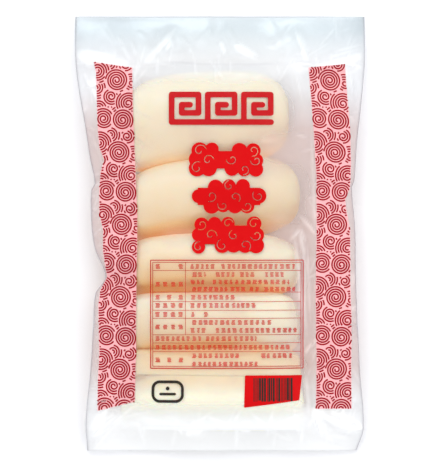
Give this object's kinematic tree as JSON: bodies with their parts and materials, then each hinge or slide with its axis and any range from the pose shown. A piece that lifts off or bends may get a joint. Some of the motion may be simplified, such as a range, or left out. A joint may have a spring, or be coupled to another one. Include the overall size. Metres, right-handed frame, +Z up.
{
  "type": "bag of silver thread rolls",
  "caption": "Sealed clear film bag of steamed silver thread rolls lying on its back, with scroll-patterned bands, a ruled panel and plain ornaments printed on the front.",
  "frame": {"origin": "on the table, under the middle of the bag's bounding box", "axes": "+X to the right across the bag as its print is read, +Y towards the top seal, +Z up, out of the printed front"},
  "size_m": [0.1804, 0.27, 0.0519],
  "materials": {
    "filled_bag": "gloss",
    "clear_film": "gloss",
    "steamed_dough": "satin",
    "red_print": "gloss",
    "dark_print": "gloss"
  },
  "bodies": {
    "root": {"bag_of_rolls": "filled_bag"}
  },
  "joints": []
}
